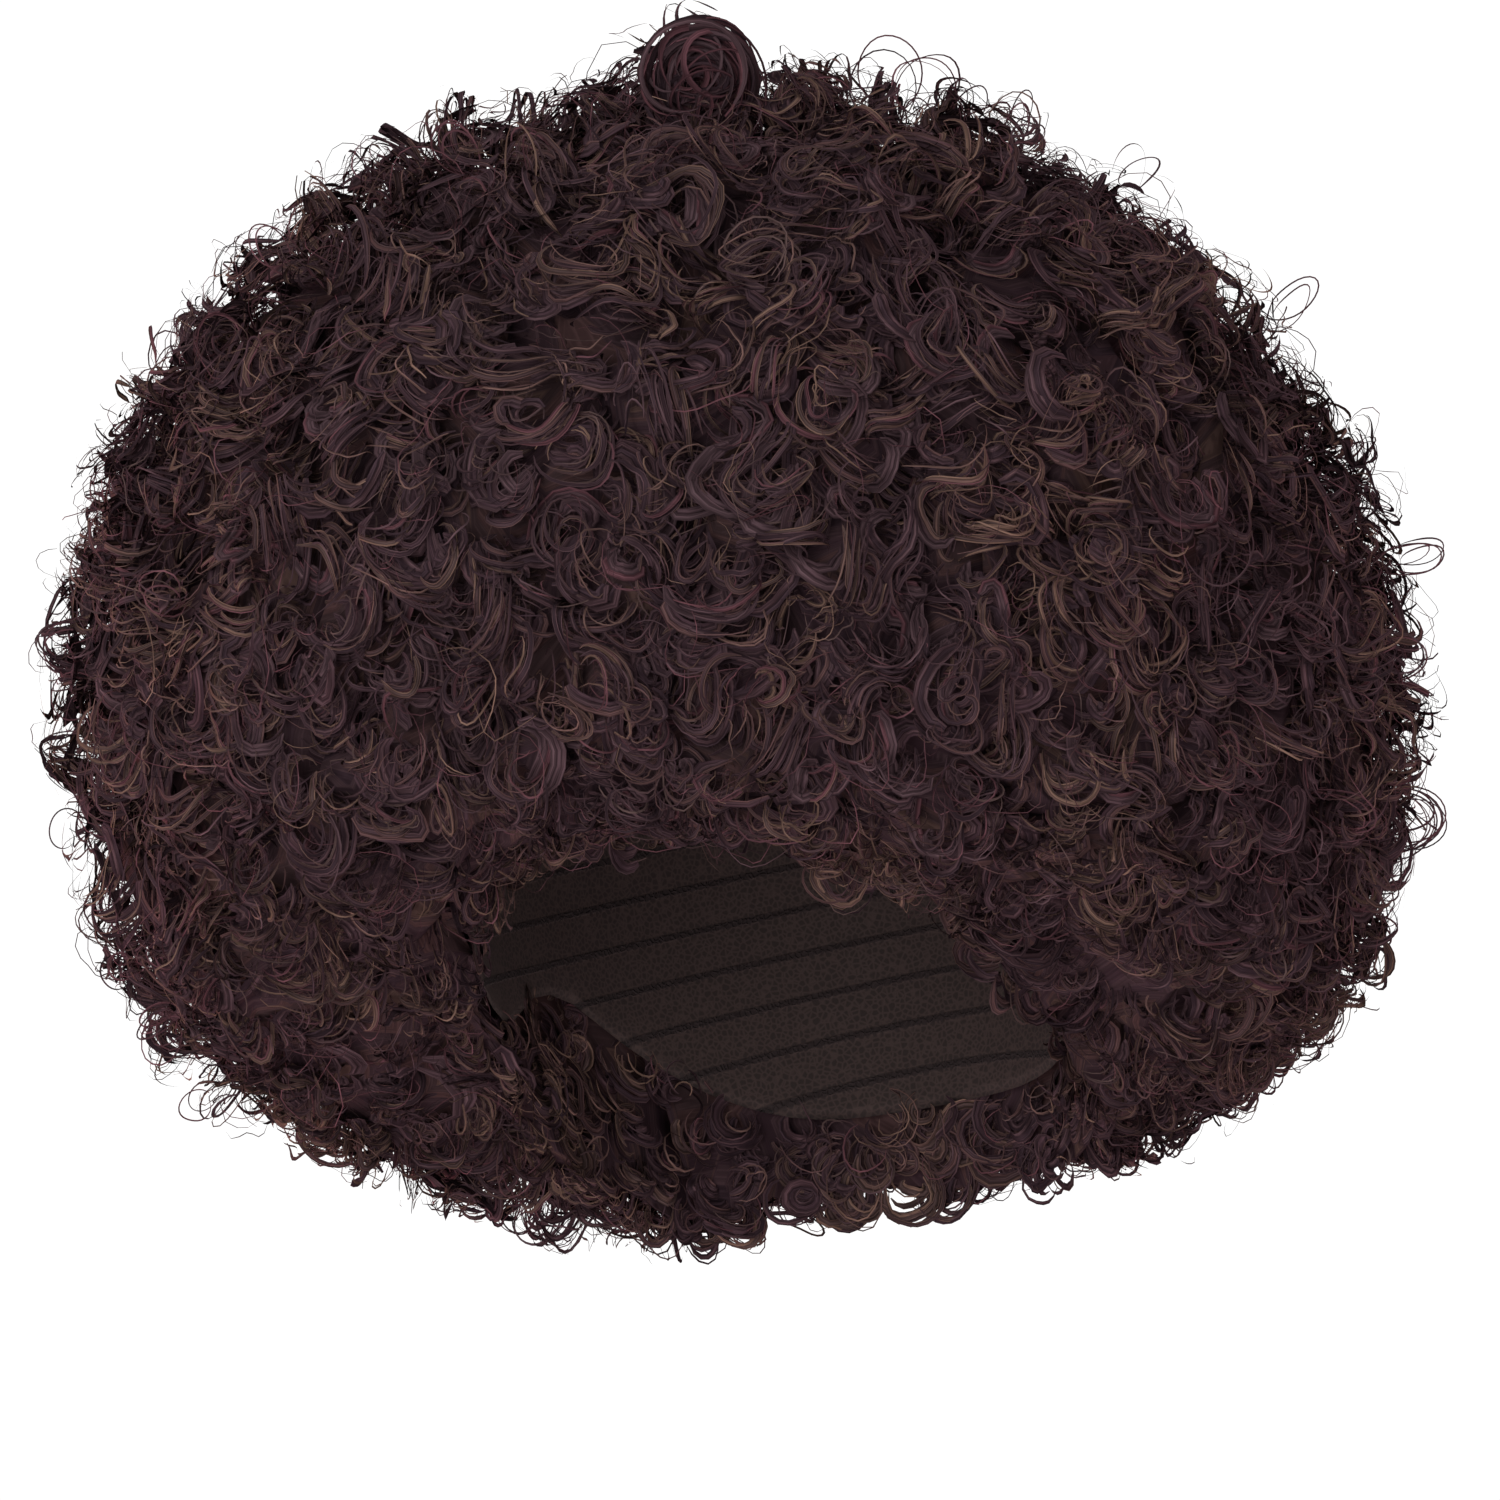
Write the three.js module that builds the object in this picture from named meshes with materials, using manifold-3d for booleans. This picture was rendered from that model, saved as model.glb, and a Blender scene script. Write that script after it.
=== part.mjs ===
import * as THREE from 'three';
import { ConvexGeometry } from 'three/addons/geometries/ConvexGeometry.js';
import { mergeVertices } from 'three/addons/utils/BufferGeometryUtils.js';
import Module from 'manifold-3d';

// Afro wig, in millimetres. The wearer faces -Y, the wearer's left is +X and +Z is up.
// The origin is the inside of the cap at its crown, where the top of the head carries the wig.
// An azimuth is in degrees: 0 at the forehead, 90 at the wearer's left ear and 180 at the nape.

// Head that the cap fits
const HEAD_WIDTH = 152;
const HEAD_DEPTH = 192;
const CROWN_HEIGHT = 90;
const NECK_DEPTH = 260;

// Cap
const CAP_WALL = 1.5;
const CAP_DEPTH = 165;

// Hair
const HAIR_REACH = 100;
const HAIR_LIFT = 118;
const HEM_OVERHANG = 22;
const HEM_LIP = 5;
const HEM_TURN = 62;
const TOP_ROUNDNESS = 2.15;
const HEM_ROUNDNESS = 2.8;

// Locks: each is a curl, a swelling with a hollow in its middle
const LOCK_PITCH = 41;
const LOCK_RELIEF = 14;
const LOCK_LEAN = 0.4;

// Standing curl on top of the crown
const TOP_CURL_RADIUS = 10;
const TOP_CURL_TUBE = 4;
const TOP_CURL_LEAN = 7;

// Where the hair is parted into its pieces
const CROWN_CONE = 33;
const FRINGE_EDGE = 50;
const SIDE_EDGE = 125;
const NAPE_LEVEL = 112;

// Clearances
const SEAT_GAP = 0.3;
const PART_GAP = 0.3;

// Fineness of the facets
const FORM_SIDES = 32;
const CAP_ROWS = 8;
const NECK_ROWS = 3;
const CURL_SIDES = 4;
const CURL_STEPS = 8;
const CONE_SIDES = 32;
const SAME_PLACE = 1e-4;

const HALF_HEAD = HEAD_WIDTH / 2;
const HALF_DEPTH = HEAD_DEPTH / 2;
const HALF_HAIR = HALF_HEAD + HAIR_REACH;
const HAIR_DROP = CAP_DEPTH + HEM_OVERHANG;
const TOOL_SIZE = 3 * HALF_HAIR;
const GOLDEN_TURN = 180 * (3 - Math.sqrt(5));
const UP = new THREE.Vector3(0, 0, 1);

// Narrowing of the head below its widest level. drop is a share of the stretch down to
// NECK_DEPTH, and width and depth are shares of the head's own.
const NECK_SECTIONS = [
  { drop: 0, width: 1, depth: 1 },
  { drop: 0.2, width: 0.98, depth: 0.95 },
  { drop: 0.45, width: 0.91, depth: 0.79 },
  { drop: 0.7, width: 0.88, depth: 0.74 },
  { drop: 1, width: 0.88, depth: 0.74 },
];

// Edge of the cap from the forehead to the nape, the same left and right: a tab in front of
// the ear and a notch over it. depth is a share of CAP_DEPTH.
const CAP_EDGE = [
  { azimuth: 0, depth: 0.36 },
  { azimuth: 32, depth: 0.44 },
  { azimuth: 55, depth: 0.6 },
  { azimuth: 78, depth: 0.73 },
  { azimuth: 95, depth: 0.66 },
  { azimuth: 115, depth: 0.82 },
  { azimuth: 145, depth: 0.97 },
  { azimuth: 180, depth: 1 },
];

// Outline of the hair from the forehead to the nape, the same left and right. reach is a share
// of half the hair's width. waist, the widest level, and hem are shares of HAIR_DROP.
const HAIR_SECTIONS = [
  { azimuth: 0, reach: 0.91, waist: 0.1, hem: 0.375 },
  { azimuth: 32, reach: 0.95, waist: 0.16, hem: 0.47 },
  { azimuth: 55, reach: 1, waist: 0.24, hem: 0.6 },
  { azimuth: 78, reach: 1.01, waist: 0.28, hem: 0.75 },
  { azimuth: 95, reach: 1, waist: 0.29, hem: 0.87 },
  { azimuth: 115, reach: 0.99, waist: 0.29, hem: 0.96 },
  { azimuth: 145, reach: 0.98, waist: 0.29, hem: 1 },
  { azimuth: 180, reach: 0.99, waist: 0.29, hem: 1 },
];

// Section of a lock from its middle out to the corner that it shares with its neighbours. out
// is a share of the way to that corner and lift a share of LOCK_RELIEF.
const LOCK_PROFILE = [
  { out: 0, lift: 0.3 },
  { out: 0.36, lift: 1 },
  { out: 0.7, lift: 0.85 },
  { out: 1, lift: 0 },
];

const wasm = await Module();
wasm.setup();

function radians(degrees) {
  return THREE.MathUtils.degToRad(degrees);
}

// Smooth curve through one column of a table
function columnCurve(table, key, value) {
  const keys = table.map((row) => row[key]);
  const values = table.map((row) => row[value]);
  const curve = new THREE.CubicInterpolant(keys, values, 1);
  curve.settings = { endingStart: THREE.ZeroSlopeEnding, endingEnd: THREE.ZeroSlopeEnding };
  return (at) => curve.evaluate(at)[0];
}

const neckWidth = columnCurve(NECK_SECTIONS, 'drop', 'width');
const neckLength = columnCurve(NECK_SECTIONS, 'drop', 'depth');
const edgeShare = columnCurve(CAP_EDGE, 'azimuth', 'depth');
const reachShare = columnCurve(HAIR_SECTIONS, 'azimuth', 'reach');
const waistShare = columnCurve(HAIR_SECTIONS, 'azimuth', 'waist');
const hemShare = columnCurve(HAIR_SECTIONS, 'azimuth', 'hem');

// Azimuth folded onto one side of the head, from 0 to 180
function folded(azimuth) {
  const turned = THREE.MathUtils.euclideanModulo(azimuth, 360);
  return turned > 180 ? 360 - turned : turned;
}

function capEdge(azimuth) {
  return CAP_DEPTH * edgeShare(folded(azimuth));
}

// Point of the head form, grown by an offset, at an azimuth and a depth below the crown
function headPoint(azimuth, depth, offset) {
  const rise = Math.max(0, 1 - depth / CROWN_HEIGHT);
  const drop = Math.max(0, depth - CROWN_HEIGHT);
  const share = drop / (NECK_DEPTH - CROWN_HEIGHT);
  const spread = Math.sqrt(1 - rise * rise);
  const width = (HALF_HEAD + offset) * spread * neckWidth(share);
  const length = (HALF_DEPTH + offset) * spread * neckLength(share);
  const height = (CROWN_HEIGHT + offset) * rise - CROWN_HEIGHT - drop;
  const angle = radians(azimuth);
  return new THREE.Vector3(width * Math.sin(angle), -length * Math.cos(angle), height);
}

// Depth at an even step along the head's curve: an arc above the widest level, then straight
function steppedDepth(step) {
  const quarter = Math.PI / 2;
  return step <= quarter
    ? CROWN_HEIGHT * (1 - Math.cos(step))
    : CROWN_HEIGHT * (1 + step - quarter);
}

function stepOfDepth(depth) {
  return depth <= CROWN_HEIGHT
    ? Math.acos(1 - depth / CROWN_HEIGHT)
    : Math.PI / 2 + depth / CROWN_HEIGHT - 1;
}

// Depths of the rings along one azimuth: the cap's own rows, then the rows below its edge
function ringDepths(azimuth, neckRows) {
  const edge = capEdge(azimuth);
  const depths = [];
  for (let row = 1; row < CAP_ROWS; row += 1) {
    depths.push(steppedDepth((stepOfDepth(edge) * row) / CAP_ROWS));
  }
  for (let row = 0; row <= neckRows; row += 1) {
    depths.push(THREE.MathUtils.lerp(edge, NECK_DEPTH, row / NECK_ROWS));
  }
  return depths;
}

// Skin of the head form as a crown point followed by rings of points
function headSkin(offset, neckRows) {
  const points = [headPoint(0, 0, offset)];
  const columns = [];
  for (let side = 0; side < FORM_SIDES; side += 1) {
    const azimuth = (360 * side) / FORM_SIDES;
    const depths = ringDepths(azimuth, neckRows);
    columns.push(depths.map((depth) => headPoint(azimuth, depth, offset)));
  }
  for (let row = 0; row < columns[0].length; row += 1) {
    columns.forEach((column) => points.push(column[row]));
  }
  return points;
}

// Faces of a skin whose first point has the index start
function skinFaces(start, rings, inward) {
  const faces = [];
  const ring = (row, side) => start + 1 + row * FORM_SIDES + (side % FORM_SIDES);
  for (let side = 0; side < FORM_SIDES; side += 1) {
    faces.push([start, ring(0, side), ring(0, side + 1)]);
    for (let row = 1; row < rings; row += 1) {
      faces.push([ring(row - 1, side), ring(row, side), ring(row, side + 1)]);
      faces.push([ring(row - 1, side), ring(row, side + 1), ring(row - 1, side + 1)]);
    }
  }
  return inward ? faces.map(([a, b, c]) => [a, c, b]) : faces;
}

function geometryOf(points, faces) {
  const geometry = new THREE.BufferGeometry().setFromPoints(points);
  geometry.setIndex(faces.flat());
  return geometry;
}

// The cap is one sheet: its outer skin, its inner skin and the edge between them
function capGeometry() {
  const outer = headSkin(CAP_WALL, 0);
  const inner = headSkin(0, 0);
  const rings = CAP_ROWS;
  const faces = [
    ...skinFaces(0, rings, false),
    ...skinFaces(outer.length, rings, true),
  ];
  const rim = (skin, side) => skin + 1 + (rings - 1) * FORM_SIDES + (side % FORM_SIDES);
  for (let side = 0; side < FORM_SIDES; side += 1) {
    faces.push([rim(0, side), rim(outer.length, side), rim(outer.length, side + 1)]);
    faces.push([rim(0, side), rim(outer.length, side + 1), rim(0, side + 1)]);
  }
  return geometryOf([...outer, ...inner], faces);
}

// Space of the head, the neck and the cap, which the hair goes round
function hollowGeometry() {
  const points = headSkin(CAP_WALL + SEAT_GAP, NECK_ROWS);
  const rings = CAP_ROWS + NECK_ROWS;
  const faces = skinFaces(0, rings, false);
  const rim = (side) => 1 + (rings - 1) * FORM_SIDES + (side % FORM_SIDES);
  points.push(new THREE.Vector3(0, 0, -NECK_DEPTH));
  for (let side = 0; side < FORM_SIDES; side += 1) {
    faces.push([points.length - 1, rim(side + 1), rim(side)]);
  }
  return geometryOf(points, faces);
}

// Quarter of a rounded curve: the shares of its width and of its height at a turn of 0 to 90
function roundQuarter(turn, roundness) {
  const power = 2 / roundness;
  return {
    width: Math.sin(radians(turn)) ** power,
    height: Math.max(0, Math.cos(radians(turn))) ** power,
  };
}

// Point of the hair's outline. A polar angle of 0 is the top and 90 the widest level. Then come
// the hem and, at 180, the middle of the underside, inside the hollow.
function hairPoint(azimuth, polar, inset) {
  const side = folded(azimuth);
  const angle = radians(azimuth);
  const hemPolar = 90 + HEM_TURN * Math.sqrt(hemShare(side));
  const reach = HALF_HAIR * reachShare(side) - inset;
  const waist = -HAIR_DROP * waistShare(side);
  const hem = -HAIR_DROP * hemShare(side);
  const seat = headPoint(azimuth, -hem, CAP_WALL + SEAT_GAP);
  const hemReach = Math.hypot(seat.x, seat.y) + HEM_LIP;
  let radius;
  let height;
  if (polar <= 90) {
    const quarter = roundQuarter(polar, TOP_ROUNDNESS);
    radius = reach * quarter.width;
    height = waist + (HAIR_LIFT - inset - waist) * quarter.height;
  } else if (polar <= hemPolar) {
    const turn = (90 * (hemPolar - polar)) / (hemPolar - 90);
    const quarter = roundQuarter(turn, HEM_ROUNDNESS);
    radius = hemReach + (reach - hemReach) * quarter.width;
    height = waist + (hem + inset / 2 - waist) * quarter.height;
  } else {
    const share = (180 - polar) / (180 - hemPolar);
    radius = hemReach * share;
    height = THREE.MathUtils.lerp(-CAP_DEPTH, hem + inset / 2, Math.sqrt(share));
  }
  return new THREE.Vector3(radius * Math.sin(angle), -radius * Math.cos(angle), height);
}

// Places of the locks as directions, spread evenly over the ball in a golden spiral
function lockPlaces() {
  const area = 4 * Math.PI * HALF_HAIR * HALF_HAIR;
  const count = Math.round(area / (LOCK_PITCH * LOCK_PITCH));
  return Array.from({ length: count }, (_, index) => {
    const height = 1 - (2 * index + 1) / count;
    const spread = Math.sqrt(1 - height * height);
    const angle = radians(index * GOLDEN_TURN);
    return new THREE.Vector3(spread * Math.sin(angle), -spread * Math.cos(angle), height);
  });
}

// Corners between each lock and its neighbours, in order round the lock
function lockCorners(places) {
  const net = new ConvexGeometry(places).getAttribute('position');
  const corners = places.map(() => []);
  const point = new THREE.Vector3();
  const nearest = (index) => {
    point.fromBufferAttribute(net, index);
    return places.findIndex((place) => place.distanceTo(point) < SAME_PLACE);
  };
  for (let index = 0; index < net.count; index += 3) {
    const trio = [nearest(index), nearest(index + 1), nearest(index + 2)];
    const corner = new THREE.Vector3();
    trio.forEach((lock) => corner.add(places[lock]));
    corner.normalize();
    trio.forEach((lock) => corners[lock].push(corner));
  }
  return corners.map((around, lock) => aroundPlace(places[lock], around));
}

// Directions sorted anticlockwise round a place, seen from outside
function aroundPlace(place, directions) {
  const first = new THREE.Vector3().crossVectors(UP, place).normalize();
  const second = new THREE.Vector3().crossVectors(place, first);
  const turn = (item) => Math.atan2(item.dot(second), item.dot(first));
  return directions.slice().sort((one, other) => turn(one) - turn(other));
}

// Point of the ball in a direction, sunk below the outline
function ballPoint(direction, inset) {
  const azimuth = THREE.MathUtils.radToDeg(Math.atan2(direction.x, -direction.y));
  const polar = THREE.MathUtils.radToDeg(UP.angleTo(direction));
  return hairPoint(azimuth, polar, inset);
}

// Faces of one lock as triangles of points: a fan over its hollow and bands out to its corners.
// Each lock leans, so that one side of its curl stands higher than the other.
function lockTriangles(place, corners, turn) {
  const last = LOCK_PROFILE.length - 1;
  const rings = LOCK_PROFILE.map(({ out, lift }, level) => corners.map((corner, index) => {
    const swing = Math.cos((2 * Math.PI * index) / corners.length + turn);
    const lean = level === last ? 0 : LOCK_LEAN * out * (1 + swing);
    const direction = place.clone().lerp(corner, out).normalize();
    return ballPoint(direction, LOCK_RELIEF * (1 - lift + lean));
  }));
  const triangles = [];
  corners.forEach((_, index) => {
    const next = (index + 1) % corners.length;
    triangles.push(rings[0][0], rings[1][index], rings[1][next]);
    for (let level = 1; level < last; level += 1) {
      const [inner, outer] = [rings[level], rings[level + 1]];
      triangles.push(inner[index], outer[index], outer[next]);
      triangles.push(inner[index], outer[next], inner[next]);
    }
  });
  return triangles;
}

// Ball of hair as one closed form of locks
function ballGeometry() {
  const places = lockPlaces();
  const corners = lockCorners(places);
  const triangles = places.flatMap((place, lock) => lockTriangles(place, corners[lock], lock));
  return new THREE.BufferGeometry().setFromPoints(triangles);
}

// The curl that stands up out of the crown
function topCurlGeometry() {
  const ring = new THREE.TorusGeometry(TOP_CURL_RADIUS, TOP_CURL_TUBE, CURL_SIDES, CURL_STEPS);
  ring.rotateX(Math.PI / 2);
  const seat = hairPoint(90, TOP_CURL_LEAN, 0);
  return ring.translate(seat.x, seat.y, seat.z);
}

// Closed solid from a geometry
function solid(geometry) {
  const bare = geometry.index ? geometry.clone() : geometry;
  bare.deleteAttribute('normal');
  bare.deleteAttribute('uv');
  const merged = mergeVertices(bare);
  const vertProperties = new Float32Array(merged.getAttribute('position').array);
  const triVerts = new Uint32Array(merged.getIndex().array);
  return new wasm.Manifold(new wasm.Mesh({ numProp: 3, vertProperties, triVerts }));
}

// The solid's largest body, without the slivers that a cut leaves beside it
function mainBody(shape) {
  const bodies = shape.decompose();
  return bodies.reduce((most, body) => (body.volume() > most.volume() ? body : most));
}

// Upright wedge between two azimuths, drawn in by half the gap between pieces
function wedge(from, to) {
  const middle = radians((from + to) / 2);
  const half = radians((to - from) / 2);
  const back = PART_GAP / 2 / Math.sin(half);
  const corner = (azimuth) => new THREE.Vector2(Math.sin(azimuth), -Math.cos(azimuth));
  const apex = corner(middle).multiplyScalar(back);
  const first = corner(radians(from)).multiplyScalar(TOOL_SIZE).add(apex);
  const last = corner(radians(to)).multiplyScalar(TOOL_SIZE).add(apex);
  const far = corner(middle).multiplyScalar(2 * TOOL_SIZE).add(apex);
  const shape = new THREE.Shape([apex, first, far, last]);
  const block = new THREE.ExtrudeGeometry(shape, { depth: 2 * TOOL_SIZE, bevelEnabled: false });
  return solid(block.translate(0, 0, -TOOL_SIZE));
}

// Cone round the crown, opening upwards from the middle of the head, grown by an offset
function crownCone(offset) {
  const slope = radians(CROWN_CONE);
  const geometry = new THREE.ConeGeometry(TOOL_SIZE * Math.tan(slope), TOOL_SIZE, CONE_SIDES);
  geometry.rotateX(-Math.PI / 2);
  const apex = -CROWN_HEIGHT - offset / Math.sin(slope);
  return solid(geometry.translate(0, 0, apex + TOOL_SIZE / 2));
}

// Slab below a level, down past the hem
function slabBelow(level) {
  const slab = new THREE.BoxGeometry(2 * TOOL_SIZE, 2 * TOOL_SIZE, TOOL_SIZE);
  return solid(slab.translate(0, 0, level - TOOL_SIZE / 2));
}

function hairBall() {
  return solid(ballGeometry())
    .add(solid(topCurlGeometry()))
    .subtract(solid(hollowGeometry()));
}

// The six pieces of the hair
function hairPieces() {
  const ball = hairBall();
  const ring = ball.subtract(crownCone(PART_GAP / 2));
  const rear = ring.intersect(wedge(SIDE_EDGE, 360 - SIDE_EDGE));
  return {
    hair_crown: ball.intersect(crownCone(-PART_GAP / 2)),
    hair_fringe: ring.intersect(wedge(-FRINGE_EDGE, FRINGE_EDGE)),
    hair_left_side: ring.intersect(wedge(FRINGE_EDGE, SIDE_EDGE)),
    hair_right_side: ring.intersect(wedge(-SIDE_EDGE, -FRINGE_EDGE)),
    hair_back: rear.subtract(slabBelow(-NAPE_LEVEL + PART_GAP / 2)),
    hair_nape: rear.intersect(slabBelow(-NAPE_LEVEL - PART_GAP / 2)),
  };
}

function geometryOfSolid(shape) {
  const mesh = shape.getMesh();
  const geometry = new THREE.BufferGeometry();
  geometry.setAttribute('position', new THREE.BufferAttribute(mesh.vertProperties, 3));
  geometry.setIndex(new THREE.BufferAttribute(mesh.triVerts, 1));
  return geometry;
}

function namedMesh(name, geometry, material) {
  const mesh = new THREE.Mesh(geometry, material);
  mesh.name = name;
  return mesh;
}

const netting = { color: 0x1d1614, roughness: 0.85, metalness: 0 };
const fibre = { color: 0x2a1a18, roughness: 0.5, metalness: 0 };

const wig = new THREE.Group();
wig.add(namedMesh('wig_cap', capGeometry(), new THREE.MeshStandardMaterial(netting)));
Object.entries(hairPieces()).forEach(([name, shape]) => {
  const material = new THREE.MeshStandardMaterial(fibre);
  wig.add(namedMesh(name, geometryOfSolid(mainBody(shape)), material));
});

export default wig;
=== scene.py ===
"""Afro wig: a full ball of small fibre curls, sewn to a knitted cap.

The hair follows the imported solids. Each lock is a bundle of flat wisps and fine strands that
winds out of the backing, and loose loops and single hairs stand off the outline.
"""
import logging
import math
from dataclasses import dataclass, field, fields, replace
from enum import Enum

import bpy
import numpy as np
from bpy.types import ID, Material, Node, NodeSocket, Object
from mathutils import Matrix, Vector
from mathutils.bvhtree import BVHTree


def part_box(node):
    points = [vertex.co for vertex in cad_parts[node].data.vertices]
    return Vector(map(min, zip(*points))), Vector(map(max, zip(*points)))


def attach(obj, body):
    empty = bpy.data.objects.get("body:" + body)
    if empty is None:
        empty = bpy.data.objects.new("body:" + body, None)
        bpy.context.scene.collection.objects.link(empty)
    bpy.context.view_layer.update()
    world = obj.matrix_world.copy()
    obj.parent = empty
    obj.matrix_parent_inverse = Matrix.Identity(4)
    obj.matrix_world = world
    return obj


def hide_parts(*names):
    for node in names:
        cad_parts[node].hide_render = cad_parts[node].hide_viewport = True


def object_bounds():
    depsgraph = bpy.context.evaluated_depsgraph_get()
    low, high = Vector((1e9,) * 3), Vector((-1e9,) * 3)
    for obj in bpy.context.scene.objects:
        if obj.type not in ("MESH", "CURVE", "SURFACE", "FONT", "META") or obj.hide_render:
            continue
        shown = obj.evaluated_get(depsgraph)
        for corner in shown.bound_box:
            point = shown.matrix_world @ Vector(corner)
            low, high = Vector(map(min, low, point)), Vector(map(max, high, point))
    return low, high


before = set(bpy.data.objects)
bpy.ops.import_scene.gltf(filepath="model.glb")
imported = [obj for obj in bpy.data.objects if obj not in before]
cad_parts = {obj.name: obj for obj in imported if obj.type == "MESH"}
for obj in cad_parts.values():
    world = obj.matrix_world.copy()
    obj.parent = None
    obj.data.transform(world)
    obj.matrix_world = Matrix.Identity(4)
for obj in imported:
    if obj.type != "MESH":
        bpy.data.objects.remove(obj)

CAD_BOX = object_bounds()
Array = np.ndarray
Random = np.random.Generator
MM = 0.001
TINY = 1e-12
MERGE_REACH = 0.01 * MM
SEED = 27
BODY = "root"
CAP_NODE = "wig_cap"
HAIR_NODES = ("hair_crown", "hair_fringe", "hair_left_side", "hair_right_side", "hair_back", "hair_nape")
STRIPS = 16
SIDES = np.array([-1.0, 1.0])
FIBRE_MAP = "OFBake"
LOG = logging.getLogger("wig")


def linear(hex_colour: str) -> tuple[float, float, float, float]:
    """Turns an sRGB hex colour into linear RGBA.

    Args:
        hex_colour: Six hex digits, such as "2a1a18".

    Returns:
        Red, green, blue and alpha, each from 0 to 1.
    """
    parts = [int(hex_colour[i:i + 2], 16) / 255 for i in (0, 2, 4)]
    low = [p / 12.92 if p <= 0.04045 else ((p + 0.055) / 1.055) ** 2.4 for p in parts]
    return (*low, 1.0)


def unit(vectors: Array) -> Array:
    """Scales vectors on the last axis to length one."""
    return vectors / np.maximum(np.linalg.norm(vectors, axis=-1, keepdims=True), TINY)


def square_part(vectors: Array, axes: Array) -> Array:
    """Leaves out the part of each vector that lies along its axis."""
    return vectors - axes * np.sum(vectors * axes, axis=1)[:, None]


def turned(first: Array, second: Array, angle: Array) -> Array:
    """Gives the vectors at an angle from the first ones towards the second ones."""
    return first * np.cos(angle)[..., None] + second * np.sin(angle)[..., None]


def add_node(material: ID, kind: str, links: dict | None = None,
             sockets: dict | None = None, **settings: object) -> Node:
    """Adds one shader node with its settings, socket values and incoming links.

    Args:
        material: The material or world whose tree takes the node.
        kind: The node's type, such as "Math".
        links: Input socket name or number, to the output, or node by its first output, that feeds it.
        sockets: Input socket name or number, to its value.
        **settings: Attributes of the node itself.

    Returns:
        The new node.
    """
    node = material.node_tree.nodes.new("ShaderNode" + kind)
    for key, value in settings.items():
        setattr(node, key, value)
    for key, value in (sockets or {}).items():
        node.inputs[key].default_value = value
    for key, source in (links or {}).items():
        output = source.outputs[0] if isinstance(source, Node) else source
        material.node_tree.links.new(output, node.inputs[key])
    return node


def blank_material(name: str) -> Material:
    """Makes a material with an empty node tree.

    Args:
        name: The finish's name.

    Returns:
        The material.
    """
    material = bpy.data.materials.new(name)
    material.use_nodes = True
    material.node_tree.nodes.clear()
    return material


def read_mesh(mesh: bpy.types.Mesh) -> tuple[Array, Array]:
    """Reads a mesh's shape.

    Args:
        mesh: The mesh.

    Returns:
        The places of its vertices, and the vertex numbers of its triangles.
    """
    mesh.calc_loop_triangles()
    return (np.array([vertex.co for vertex in mesh.vertices]),
            np.array([face.vertices for face in mesh.loop_triangles]))


def merged_copy(node: str, name: str, quads: bool = False) -> Object:
    """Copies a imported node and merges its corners.

    Args:
        node: The node, which stays as it is.
        name: The copy's name.
        quads: Whether pairs of triangles are joined.

    Returns:
        The copy, selected and active.
    """
    bpy.ops.object.select_all(action="DESELECT")
    copy = bpy.data.objects.new(name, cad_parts[node].data.copy())
    bpy.context.scene.collection.objects.link(copy)
    copy.select_set(True)
    bpy.context.view_layer.objects.active = copy
    bpy.ops.object.mode_set(mode="EDIT")
    bpy.ops.mesh.select_all(action="SELECT")
    bpy.ops.mesh.remove_doubles(threshold=MERGE_REACH)
    if quads:
        bpy.ops.mesh.tris_convert_to_quads()
    bpy.ops.object.mode_set(mode="OBJECT")
    return copy


class Shade(Enum):
    """Strips of the fibre chart, as first strip and number of strips."""

    DARK = (0, 5)
    BROWN = (5, 4)
    # Light brown strips, a painted highlight on the dark brown fibre.
    LIGHT = (9, 2)
    # Wine red strips, painted light shining through thin fibre lit from behind.
    PAINTED_BACKLIGHT = (11, 2)
    DEEP = (13, 3)


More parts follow.
